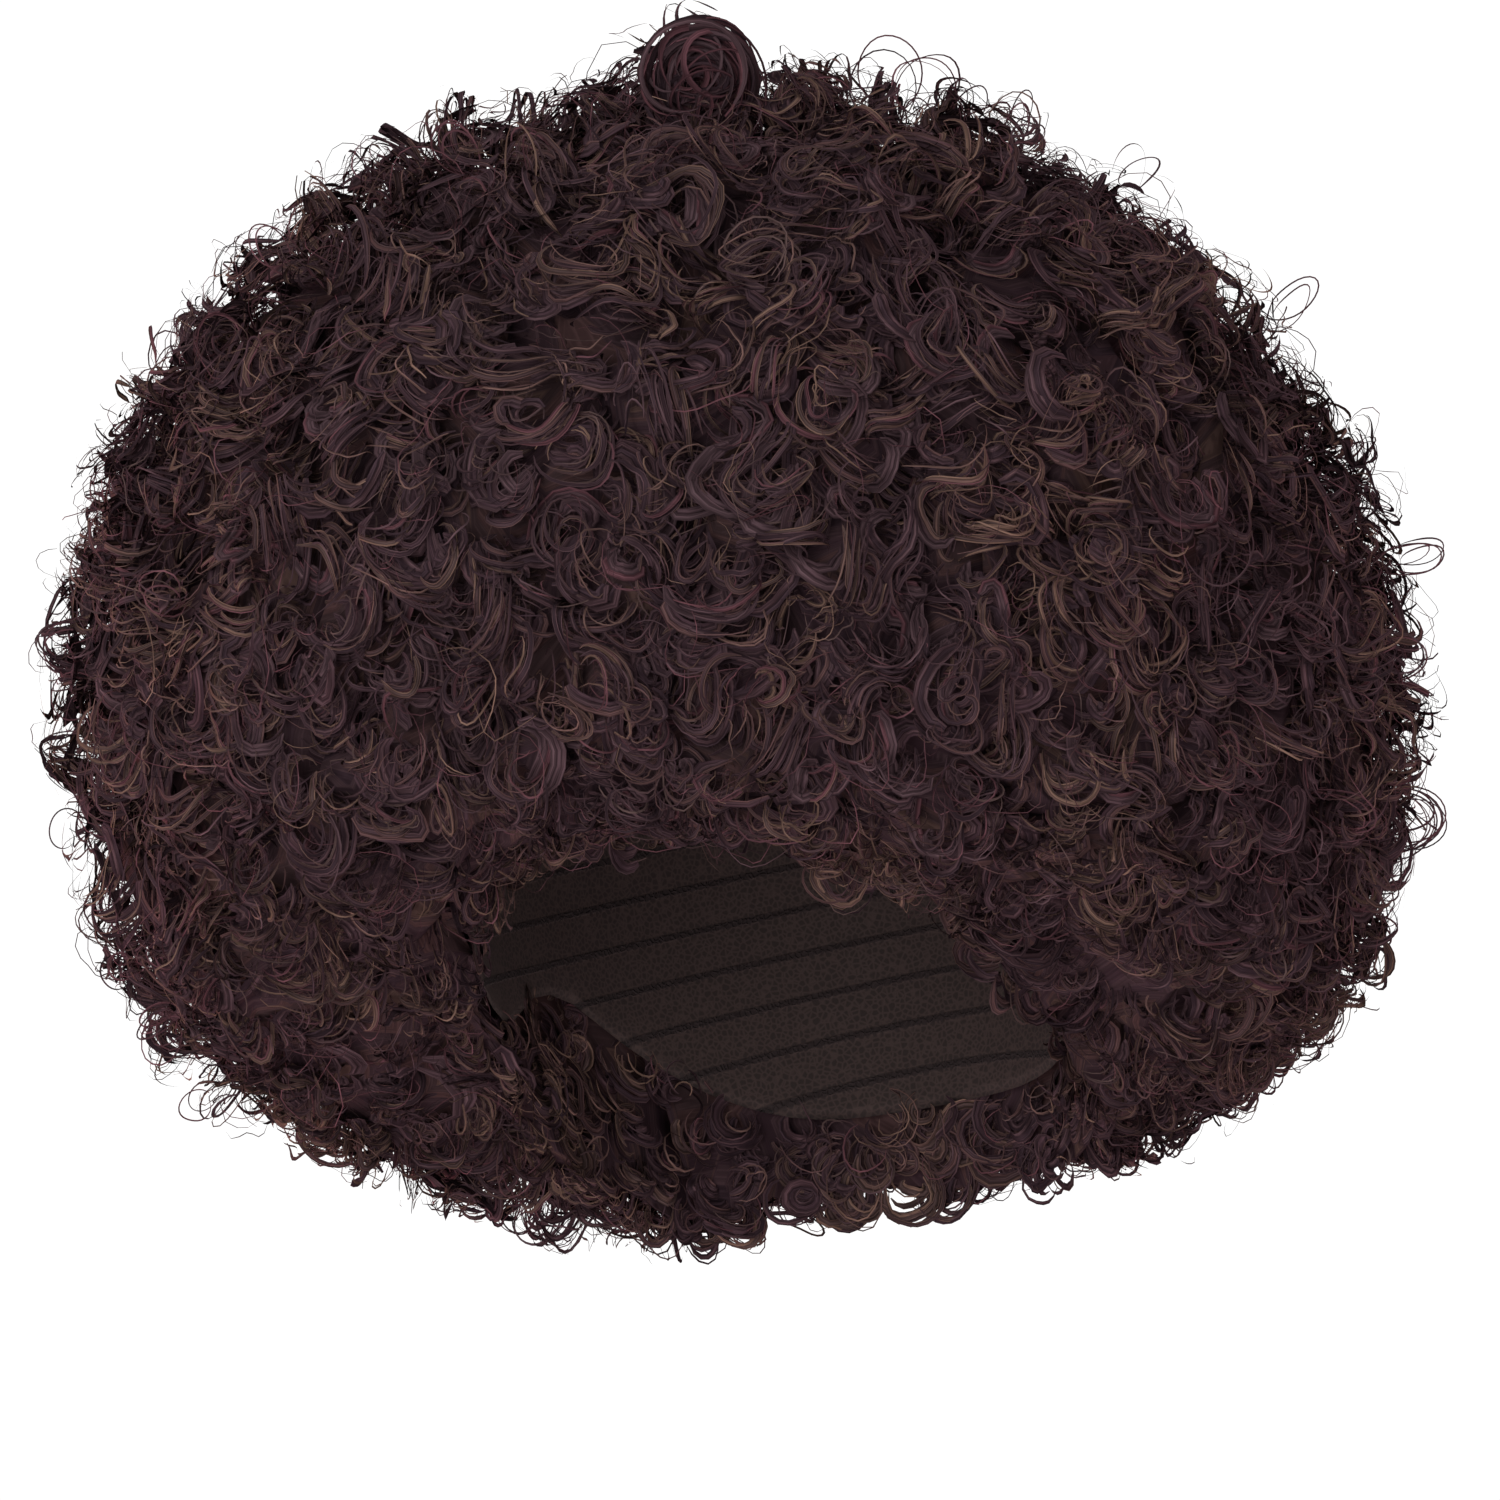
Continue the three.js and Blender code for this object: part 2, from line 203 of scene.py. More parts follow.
@dataclass(frozen=True)
class FibreFinish:
    """Curled modacrylic fibre, spun-dyed dark brown.

    The fibre is delustred, so that a lock has no gloss. The soft warm glint along its bend is a
    painted highlight.
    A strip of the chart is drawn as a few threads side by side, coarser than real hairs, which
    are too fine to show.
    """

    # Rows of strips: dark, brown, light brown painted highlight, wine red painted backlight, deep.
    strip_colours: tuple[str, ...] = (
        "2e2124", "261c20", "322528", "2b1f23", "2f2326",
        "392929", "302425", "3c2d2a", "362a29",
        "4b3a33", "43322f",
        "40292d", "382428",
        "2f2326", "2a1f22", "312528")
    name: str = "curled_modacrylic_fibre"
    # Brightness along each strand: painted light at the root, a painted highlight mid-bend and painted
    # shade at the tip.
    glint: tuple[tuple[float, float], ...] = (
        (0.0, 1.25), (0.3, 1.0), (0.52, 1.38), (0.75, 0.95), (1.0, 0.75))
    streaks_along: float = 2.5
    streaks_across: float = 4.5
    streak_noise: tuple[float, float] = (0.43, 0.64)
    # Levels of the threads: partly random, with painted shade between them and a painted glint on them.
    streak_dark: float = 0.66
    streak_bright: float = 1.52
    # Painted shade at each strip's edges: where it begins and where it is full, from the strip's middle,
    # and its level.
    edge: tuple[float, float] = (0.2, 0.45)
    edge_dark: float = 0.5
    roughness: float = 0.8

    def build(self) -> Material:
        """Builds the material on the strands' own chart.

        Returns:
            The fibre material.
        """
        mat = blank_material(self.name)
        chart = add_node(mat, "UVMap", uv_map=FIBRE_MAP)
        split = add_node(mat, "SeparateXYZ", {0: chart})
        along, across = split.outputs["X"], split.outputs["Y"]
        tint = add_node(mat, "ValToRGB", {0: across})
        tones = [(index / STRIPS, linear(tone)) for index, tone in enumerate(self.strip_colours)]
        self.set_stops(tint, "CONSTANT", tones)
        glint = add_node(mat, "ValToRGB", {0: along})
        levels = [(place, (level, level, level, 1.0)) for place, level in self.glint]
        self.set_stops(glint, "EASE", levels)
        inner = add_node(mat, "Math", {0: glint, 1: self.strip_edges(mat, across)}, operation="MULTIPLY")
        level = add_node(mat, "Math", {0: self.streaks(mat, along, across), 1: inner}, operation="MULTIPLY")
        colour = add_node(mat, "Mix", {6: tint, 7: level}, {0: 1.0},
                          data_type="RGBA", blend_type="MULTIPLY", clamp_result=True)
        shader = add_node(mat, "BsdfPrincipled", {"Base Color": colour.outputs[2]},
                          {"Roughness": self.roughness, "Specular IOR Level": 0.0})
        add_node(mat, "OutputMaterial", {0: shader})
        return mat

    @staticmethod
    def set_stops(ramp: Node, blend: str, stops: list[tuple[float, tuple]]) -> None:
        """Gives a colour ramp its stops.

        Args:
            ramp: The ramp node.
            blend: How it goes from stop to stop.
            stops: The place and colour of each stop, the first at 0.
        """
        ramp.color_ramp.interpolation = blend
        elements = ramp.color_ramp.elements
        for index, (place, colour) in enumerate(stops):
            stop = elements[0] if index == 0 else elements.new(place)
            stop.color = colour
        elements.remove(elements[-1])

    def strip_edges(self, mat: Material, across: NodeSocket) -> Node:
        """Darkens each strip towards its two edges with painted shade of the gaps between wisps,
        so that a wisp has no hard border.

        Args:
            mat: The fibre material.
            across: The chart's second coordinate.

        Returns:
            The node that gives the painted shade.
        """
        strip = add_node(mat, "Math", {0: across}, {1: STRIPS}, operation="MULTIPLY")
        place = add_node(mat, "Math", {0: strip}, operation="FRACT")
        off = add_node(mat, "Math", {0: place}, {1: 0.5}, operation="SUBTRACT")
        far = add_node(mat, "Math", {0: off}, operation="ABSOLUTE")
        return add_node(mat, "MapRange", {0: far},
                        {1: self.edge[0], 2: self.edge[1], 3: 1.0, 4: self.edge_dark},
                        interpolation_type="SMOOTHSTEP")

    def streaks(self, mat: Material, along: NodeSocket, across: NodeSocket) -> Node:
        """Adds noise drawn out along the fibre, so that a strip reads as a few threads that differ at
        random. The bright threads are partly a painted glint and the dark between them partly painted
        shade.

        Args:
            mat: The fibre material.
            along: The chart's first coordinate.
            across: The chart's second coordinate.

        Returns:
            The node that gives the brightness of each thread.
        """
        long_way = add_node(mat, "Math", {0: along}, {1: self.streaks_along}, operation="MULTIPLY")
        wide_way = add_node(mat, "Math", {0: across}, {1: self.streaks_across * STRIPS},
                            operation="MULTIPLY")
        place = add_node(mat, "CombineXYZ", {0: long_way, 1: wide_way})
        noise = add_node(mat, "TexNoise", {"Vector": place},
                         {"Scale": 1.0, "Detail": 2.0, "Roughness": 0.6})
        low, high = self.streak_noise
        return add_node(mat, "MapRange", {0: noise},
                        {1: low, 2: high, 3: self.streak_dark, 4: self.streak_bright},
                        interpolation_type="SMOOTHSTEP")


# Fibre matted into the backing has no painted glint and no painted edge shade, and its threads run every
# way.
MATTED_FIBRE = FibreFinish(
    name="matted_modacrylic_fibre", glint=((0.0, 1.0), (1.0, 1.0)), edge_dark=1.0,
    streak_dark=0.65, streak_bright=1.0, roughness=1.0)


@dataclass(frozen=True)
class NetFinish:
    """Knitted elastic net of nylon, dyed near black, with rows of weft sewn round it.

    The net is matt, and its open loops give a fine grain. Each weft row is a raised dark band.
    """

    colour: str = "1d1615"
    loop_colour: str = "2c2220"
    weft_colour: str = "1a1313"
    loop_pitch: float = 1.6 * MM
    loop_edge: tuple[float, float] = (0.02, 0.22)
    loop_rise: float = 0.4
    head_shape: tuple[float, float, float] = (76 * MM, 95 * MM, 90 * MM)
    weft_pitch: float = 12 * MM
    weft_edge: tuple[float, float] = (0.04, 0.1)
    roughness: float = 0.85
    bump_height: float = 0.5 * MM

    def build(self) -> Material:
        """Builds the material on Object coordinates.

        Returns:
            The net material. Real loops are under 1 mm, and are drawn as coarse as they need
            to show.
        """
        mat = blank_material("knitted_nylon_net")
        place = add_node(mat, "TexCoord").outputs["Object"]
        knit = add_node(mat, "TexVoronoi", {"Vector": place}, {"Scale": 1 / self.loop_pitch},
                        feature="DISTANCE_TO_EDGE")
        thread = add_node(mat, "MapRange", {0: knit},
                          {1: self.loop_edge[0], 2: self.loop_edge[1], 3: 1.0, 4: 0.0})
        net = add_node(mat, "Mix", {0: thread},
                       {6: linear(self.colour), 7: linear(self.loop_colour)}, data_type="RGBA")
        weft = self.weft_rows(mat, place)
        colour = add_node(mat, "Mix", {0: weft, 6: net.outputs[2]}, {7: linear(self.weft_colour)},
                          data_type="RGBA")
        height = add_node(mat, "Math", {0: weft, 1: thread}, {2: self.loop_rise}, operation="MULTIPLY_ADD")
        bump = add_node(mat, "Bump", {"Height": height}, {"Strength": 0.8, "Distance": self.bump_height})
        shader = add_node(mat, "BsdfPrincipled", {"Base Color": colour.outputs[2], "Normal": bump},
                          {"Roughness": self.roughness, "Specular IOR Level": 0.15})
        add_node(mat, "OutputMaterial", {0: shader})
        return mat

    def weft_rows(self, mat: Material, place: NodeSocket) -> Node:
        """Adds bands at even steps down from the crown.

        Args:
            mat: The net material.
            place: Object coordinates.

        Returns:
            A node that gives 1 on a weft row and 0 between rows.
        """
        width, depth, height = self.head_shape
        shaped = add_node(mat, "Mapping", {0: place}, {1: (0, 0, 1), 3: (1 / width, 1 / depth, 1 / height)})
        parts = add_node(mat, "SeparateXYZ", {0: shaped})
        level = add_node(mat, "CombineXYZ", {0: parts, 1: parts.outputs[1]})
        out = add_node(mat, "VectorMath", {0: level}, operation="LENGTH")
        drop = add_node(mat, "Math", {0: out.outputs["Value"], 1: parts.outputs[2]}, operation="ARCTAN2")
        rows = add_node(mat, "Math", {0: drop}, {1: height / self.weft_pitch}, operation="MULTIPLY")
        step = add_node(mat, "Math", {0: rows}, {1: 0.5}, operation="PINGPONG")
        return add_node(mat, "MapRange", {0: step},
                        {1: self.weft_edge[0], 2: self.weft_edge[1], 3: 1.0, 4: 0.0},
                        interpolation_type="SMOOTHSTEP")


@dataclass(frozen=True)
class FloorFinish:
    """Painted studio floor: matt and near white, so that it melts into the backdrop."""

    colour: str = "f6f6f6"
    mottle_colour: str = "f8f8f8"
    mottle_scale: float = 3.0
    roughness: float = 0.9

    def build(self) -> Material:
        """Builds the material.

        Returns:
            The floor material, with a faint mottling.
        """
        mat = blank_material("matt_white_floor_paint")
        place = add_node(mat, "TexCoord")
        mottle = add_node(mat, "TexNoise", {"Vector": place.outputs["Object"]},
                          {"Scale": self.mottle_scale})
        colour = add_node(mat, "Mix", {0: mottle.outputs["Fac"]},
                          {6: linear(self.colour), 7: linear(self.mottle_colour)}, data_type="RGBA")
        shader = add_node(mat, "BsdfPrincipled", {"Base Color": colour.outputs[2]},
                          {"Roughness": self.roughness})
        add_node(mat, "OutputMaterial", {0: shader})
        return mat


@dataclass
class MeshArrays:
    """Plain arrays of one mesh: places, triangles and chart coordinates of each vertex."""

    places: Array
    triangles: Array
    chart: Array

    @staticmethod
    def joined(parts: list["MeshArrays"]) -> "MeshArrays":
        """Joins several sets of arrays into one.

        Args:
            parts: The arrays to join.

        Returns:
            One set that holds them all.
        """
        starts = np.cumsum([0] + [len(part.places) for part in parts[:-1]])
        return MeshArrays(
            np.concatenate([part.places for part in parts]),
            np.concatenate([p.triangles + start for p, start in zip(parts, starts)]),
            np.concatenate([part.chart for part in parts]))

    def to_object(self, name: str, backing: int) -> Object:
        """Makes a smooth-shaded object with the fibre chart as its UV map.

        Args:
            name: The piece's name.
            backing: How many of the first triangles take the second material.

        Returns:
            The object, linked to the scene.
        """
        mesh = bpy.data.meshes.new(name)
        corners = self.triangles.reshape(-1).astype(np.int32)
        mesh.vertices.add(len(self.places))
        mesh.vertices.foreach_set("co", self.places.astype(np.float32).reshape(-1))
        mesh.loops.add(len(corners))
        mesh.loops.foreach_set("vertex_index", corners)
        mesh.polygons.add(len(self.triangles))
        mesh.polygons.foreach_set("loop_start", np.arange(0, len(corners), 3, dtype=np.int32))
        second = np.arange(len(self.triangles)) < backing
        mesh.polygons.foreach_set("material_index", second.astype(np.int32))
        layer = mesh.uv_layers.new(name=FIBRE_MAP)
        layer.data.foreach_set("uv", self.chart[corners].astype(np.float32).reshape(-1))
        mesh.update(calc_edges=True)
        mesh.shade_smooth()
        piece = bpy.data.objects.new(name, mesh)
        bpy.context.scene.collection.objects.link(piece)
        return piece


@dataclass
class HeadForm:
    """The head that the hair goes round, measured on the cap."""

    centre_height: float = -90 * MM
    neck_share: float = 0.9
    neck_level: float = -165 * MM
    clearance: float = 0.6 * MM
    half_sizes: Array = field(init=False)

    def __post_init__(self) -> None:
        """Reads the half width, half length and height of the cap."""
        low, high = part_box(CAP_NODE)
        self.half_sizes = np.array([high[0], high[1], high[2] - self.centre_height])

    def reach(self, points: Array) -> Array:
        """Measures how far out points are, as a share of the head's own size.

        Args:
            points: Places on the last axis.

        Returns:
            Shares that are 1 at the head's surface and more outside it.
        """
        level = points[..., 2] - self.centre_height
        drop = np.clip(level / (self.neck_level - self.centre_height), 0, 1)
        narrow = 1 - (1 - self.neck_share) * drop
        scaled = points.copy()
        scaled[..., 2] = np.maximum(level, 0)
        scaled = scaled / (self.half_sizes + self.clearance)
        scaled[..., :2] /= narrow[..., None]
        return np.maximum(np.linalg.norm(scaled, axis=-1), TINY)

    def height_above(self, points: Array) -> Array:
        """Gives the rough distance of points from the head's surface, in metres."""
        return (self.reach(points) - 1) * self.half_sizes.mean()

    def push_out(self, points: Array) -> Array:
        """Moves points that lie in the head out to its surface.

        Args:
            points: Places on the last axis.

        Returns:
            The same places, none of them in the head.
        """
        level = points[..., 2] - self.centre_height
        push = np.maximum(1 / self.reach(points), 1)[..., None]
        moved = points.copy()
        moved[..., :2] *= push
        raised = level * push[..., 0] + self.centre_height
        moved[..., 2] = np.where(level > 0, raised, points[..., 2])
        return moved


@dataclass
class HairGuide:
    """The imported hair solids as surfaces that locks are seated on.

    Each row of fuller gives a direction from the middle of the ball, how much farther the locks
    there stand off the solids, or less where it is negative, and how wide the place is.
    """

    candidates: int = 40000
    spacing: float = 9.5 * MM
    smooth_reach: float = 20 * MM
    touch: float = 1.5 * MM
    touch_start: float = 0.02 * MM
    inward: float = -0.3
    lining_top: float = -40 * MM
    lining_reach: float = 100 * MM
    lining_spacing: float = 7.5 * MM
    lift: float = 3 * MM
    middle_height: float = -30 * MM
    fuller: tuple[tuple[float, float, float, float, float], ...] = (
        (-0.43, -0.20, 0.88, 5.5 * MM, 0.25), (0.89, 0.41, -0.05, 7 * MM, 0.12),
        (0.64, 0.30, -0.71, -8 * MM, 0.1), (0.79, 0.37, 0.48, -6 * MM, 0.06))
    places: Array = field(init=False)
    normals: Array = field(init=False)
    nodes: Array = field(init=False)
    lining: Array = field(init=False)

    def __post_init__(self) -> None:
        """Spreads seats evenly over the open faces of the hair."""
        rng = np.random.default_rng(SEED)
        faces, owners = self.node_triangles()
        corners = np.arange(3 * len(faces)).reshape(-1, 3)
        tree = BVHTree.FromPolygons(faces.reshape(-1, 3).tolist(), corners.tolist())
        hair = owners < len(HAIR_NODES)
        faces, owners = faces[hair], owners[hair]
        across = np.cross(faces[:, 1] - faces[:, 0], faces[:, 2] - faces[:, 0])
        areas = np.linalg.norm(across, axis=1)
        pick = rng.choice(len(faces), self.candidates, p=areas / areas.sum())
        mix = rng.dirichlet((1, 1, 1), self.candidates)
        points, normals = np.einsum("ij,ijk->ik", mix, faces[pick]), unit(across)[pick]
        keep = self.open_points(tree, points, normals)
        points, normals, owners = points[keep], normals[keep], owners[pick][keep]
        inside = self.inner_points(points, normals)
        seats = self.spread(points, np.where(inside, self.lining_spacing, self.spacing))
        self.places = points[seats]
        self.nodes = owners[seats]
        self.lining = inside[seats]
        self.normals = self.smoothed(seats, points, normals, inside)
        off = np.where(self.lining, 0, self.fullness(self.places))
        self.places += self.normals * off[:, None]

    def fullness(self, points: Array) -> Array:
        """Works out how far the outer locks stand off the solid.

        Args:
            points: Places on the hair.

        Returns:
            The distance at each point.
        """
        ways = unit(points - (0, 0, self.middle_height))
        reach = np.full(len(ways), self.lift)
        for *toward, extra, width in self.fuller:
            reach += extra * np.exp((ways @ unit(np.array(toward)) - 1) / width)
        return reach

    @staticmethod
    def node_triangles() -> tuple[Array, Array]:
        """Reads the triangles of the hair solids and then of the cap.

        Returns:
            Their corners, and the number of the node that each belongs to.
        """
        corners, owners = [], []
        for number, name in enumerate((*HAIR_NODES, CAP_NODE)):
            places, triangles = read_mesh(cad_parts[name].data)
            corners.append(places[triangles])
            owners.append(np.full(len(triangles), number))
        return np.concatenate(corners), np.concatenate(owners)

    def open_points(self, tree: BVHTree, points: Array, normals: Array) -> Array:
        """Finds the points that are open to the air.

        Args:
            tree: The hair and the cap.
            points: Places on the hair.
            normals: Unit normals there.

        Returns:
            A mask without the points that meet the cap or the next piece of hair.
        """
        starts = points + normals * self.touch_start
        return np.array([tree.ray_cast(Vector(start), Vector(normal), self.touch)[0] is None
                         for start, normal in zip(starts, normals)])

    def inner_points(self, points: Array, normals: Array) -> Array:
        """Finds the points that look in at the head or neck.

        Args:
            points: Places on the hair.
            normals: Unit normals there.

        Returns:
            A mask of those points.
        """
        level = points * (1, 1, 0)
        inward = np.einsum("ij,ij->i", unit(level), normals) < self.inward
        near = np.linalg.norm(level, axis=1) < self.lining_reach
        return inward & near & (points[:, 2] < self.lining_top)

    @staticmethod
    def spread(points: Array, spacing: Array) -> Array:
        """Picks points that keep the spacing between each other.

        Args:
            points: Places to pick from, in order of choice.
            spacing: How far each point keeps from the points before it.

        Returns:
            The indices of the points that were picked.
        """
        chosen = [0]
        for index in range(1, len(points)):
            gaps = np.linalg.norm(points[chosen] - points[index], axis=1)
            if gaps.min() > spacing[index]:
                chosen.append(index)
        return np.array(chosen)

    def smoothed(self, seats: Array, points: Array, normals: Array, inside: Array) -> Array:
        """Averages the normals round each seat, of its own side of the wall.

        Args:
            seats: Numbers of the points that are seats.
            points: Places on the surface.
            normals: Their normals.
            inside: Which of them look in at the head.

        Returns:
            One unit normal for each seat.
        """
        total = np.zeros((len(seats), 3))
        for index, seat in enumerate(seats):
            gaps = np.linalg.norm(points - points[seat], axis=1)
            near = (gaps < self.smooth_reach) & (inside == inside[seat])
            total[index] = normals[near].sum(axis=0)
        return unit(total)


@dataclass
class Strands:
    """A set of flat strands with the same number of steps."""

    lines: Array
    facing: Array
    widths: Array
    roll: Array
    lane: Array
    lane_width: float
    root_share: float = 0.5
    tip_share: float = 0.16
    tip_place: float = 1.04
    taper_rate: float = 4.0
    end_margin: float = 0.02
    lane_margin: float = 0.03

    def swept(self) -> MeshArrays:
        """Sweeps each strand's width along its line.

        Returns:
            Arrays of strands that taper to their tips.
        """
        tangents = unit(np.gradient(self.lines, axis=1))
        wide = unit(np.cross(tangents, self.facing[:, None, :]))
        wide = turned(wide, np.cross(wide, tangents), self.roll[:, None])
        share = np.linspace(0, 1, self.lines.shape[1])
        taper = np.minimum(self.root_share + share * self.taper_rate,
                           (self.tip_place - share) * self.taper_rate)
        half = (self.widths / 2)[:, None] * np.clip(taper, self.tip_share, 1)
        places = (self.lines[:, :, None, :] + wide[:, :, None, :] * (half[:, :, None] * SIDES)[..., None])
        return MeshArrays(places.reshape(-1, 3), self.triangles(), self.chart())

    def chart(self) -> Array:
        """Lays every strand on its lane of the chart.

        Returns:
            Chart coordinates of each vertex, along the strand and across it.
        """
        shape = (*self.lines.shape[:2], 2)
        along = np.linspace(self.end_margin, 1 - self.end_margin, shape[1])[None, :, None]
        lane = self.lane[:, None, None] + SIDES / 2 * self.lane_width
        across = np.clip(lane, self.lane_margin, STRIPS - self.lane_margin) / STRIPS
        parts = [np.broadcast_to(part, shape) for part in (along, across)]
        return np.stack(parts, axis=-1).reshape(-1, 2)

    def triangles(self) -> Array:
        """Lists the triangles of all the strands.

        Returns:
            Vertex numbers, two triangles for each step.
        """
        count, steps = self.lines.shape[:2]
        here = np.arange(steps - 1) * 2
        one = np.stack([here, here + 1, here + 3], axis=-1)
        two = np.stack([here, here + 3, here + 2], axis=-1)
        starts = np.arange(count) * steps * 2
        return (starts[:, None, None] + np.concatenate([one, two])[None]).reshape(-1, 3)


@dataclass(frozen=True)
class CurlStyle:
    """How a group of strands winds out of its seat.

    Lengths are in millimetres, tilts in degrees, and pairs are ranges. Strands of a standing
    lock show their flats along its axis, and others outwards. The bend is their share of the
    hair's unevenness. Each shade has a share of the strands, which the tone of a lock shifts.
    """

    steps: int
    per_lock: int
    radius: tuple[float, float]
    turns: tuple[float, float]
    tilt: tuple[float, float]
    root_depth: float
    proud: tuple[float, float]
    spread: float
    wave: float
    width: tuple[float, float]
    inner: float
    shades: dict[Shade, float]
    lane_width: float
    flare: float = 0.0
    standing: bool = False
    bend: float = 1.0
    tone_shift: float = 0.3

    def strips(self, tone: Array, rng: Random) -> Array:
        """Draws a strip of the chart for each strand.

        Args:
            tone: How light each strand's lock is, from about -1 to 1.
            rng: The random source.

        Returns:
            Strip numbers.
        """
        count = len(tone)
        shares = np.cumsum(list(self.shades.values()))
        draw = np.clip(rng.random(count) + self.tone_shift * tone, 0, 1 - TINY) * shares[-1]
        ranges = np.array([shade.value for shade in self.shades])
        first, size = ranges[np.searchsorted(shares, draw, side="right")].T
        return first + np.floor(rng.random(count) * size)


@dataclass
class LockPlan:
    """Seats of locks with the axis, radius and start that their strands share."""

    seats: Array
    normals: Array
    axes: Array
    first: Array
    second: Array
    radius: Array
    turns: Array
    start: Array
    tilt: Array
    squash: Array

    def picked(self, mask: Array) -> "LockPlan":
        """Keeps the locks that a mask marks."""
        return LockPlan(*(getattr(self, part.name)[mask] for part in fields(self)))


@dataclass(frozen=True)
class LockPlanner:
    """Draws the plans of locks, whose axes lean upwards so that their lower arcs stand out."""

    outward_lean: float = 0.3
    lean_spread: float = 0.12
    swing_spread: float = 0.9
    start_spread: float = 0.6
    squash: tuple[float, float] = (0.75, 1.05)

    def drawn(self, seats: Array, normals: Array, style: CurlStyle, rng: Random) -> LockPlan:
        """Draws one plan for each seat.

        Args:
            seats: Places on the hair's surface.
            normals: Outward unit vectors there.
            style: The ranges to draw from.
            rng: The random source.

        Returns:
            The plan.
        """
        count = len(seats)
        upwards = np.array([0, 0, 1]) + self.outward_lean * unit(seats * (1, 1, 0))
        up = unit(square_part(upwards, normals) + rng.normal(0, self.lean_spread, (count, 3)))
        lean = turned(up, np.cross(normals, up), rng.normal(0, self.swing_spread, count))
        tilt = np.radians(rng.uniform(*style.tilt, count))
        axes = unit(turned(normals, lean, tilt))
        first = unit(square_part(normals, axes))
        hand = np.where(rng.random(count) < 0.5, -1.0, 1.0)
        second = np.cross(axes, first) * hand[:, None]
        turns = rng.uniform(*style.turns, count)
        radius = rng.uniform(*style.radius, count) * MM
        start = rng.normal(0, self.start_spread, count) - np.pi * turns
        squash = rng.uniform(*self.squash, count)
        return LockPlan(seats, normals, axes, first, second, radius, turns, start, tilt, squash)


@dataclass
class Unevenness:
    """A smooth random field that bends neighbouring strands the same way."""

    waves: int = 7
    shortest: float = 22 * MM
    longest: float = 60 * MM
    reach: float = 1.5 * MM
    tone_waves: int = 4
    tone_stretch: float = 0.8
    vectors: Array = field(init=False)
    pushes: Array = field(init=False)
    phases: Array = field(init=False)

    def __post_init__(self) -> None:
        """Draws the waves that add up to the field."""
        rng = np.random.default_rng(SEED)
        lengths = np.linspace(self.shortest, self.longest, self.waves)
        self.vectors = unit(rng.normal(0, 1, (self.waves, 3))) * 2 * np.pi / lengths[:, None]
        self.pushes = unit(rng.normal(0, 1, (self.waves, 3)))
        self.phases = rng.uniform(0, 2 * np.pi, self.waves)

    def push(self, points: Array) -> Array:
        """Gives the way that the field moves each point."""
        return self.reach * np.sin(points @ self.vectors.T + self.phases) @ self.pushes

    def tone(self, points: Array) -> Array:
        """Gives each point a value of about -1 to 1 that changes slowly over the hair."""
        ways = points @ (self.vectors[-self.tone_waves:] * self.tone_stretch).T
        return np.sin(ways + self.phases[:self.tone_waves]).sum(axis=-1) / math.sqrt(self.tone_waves)


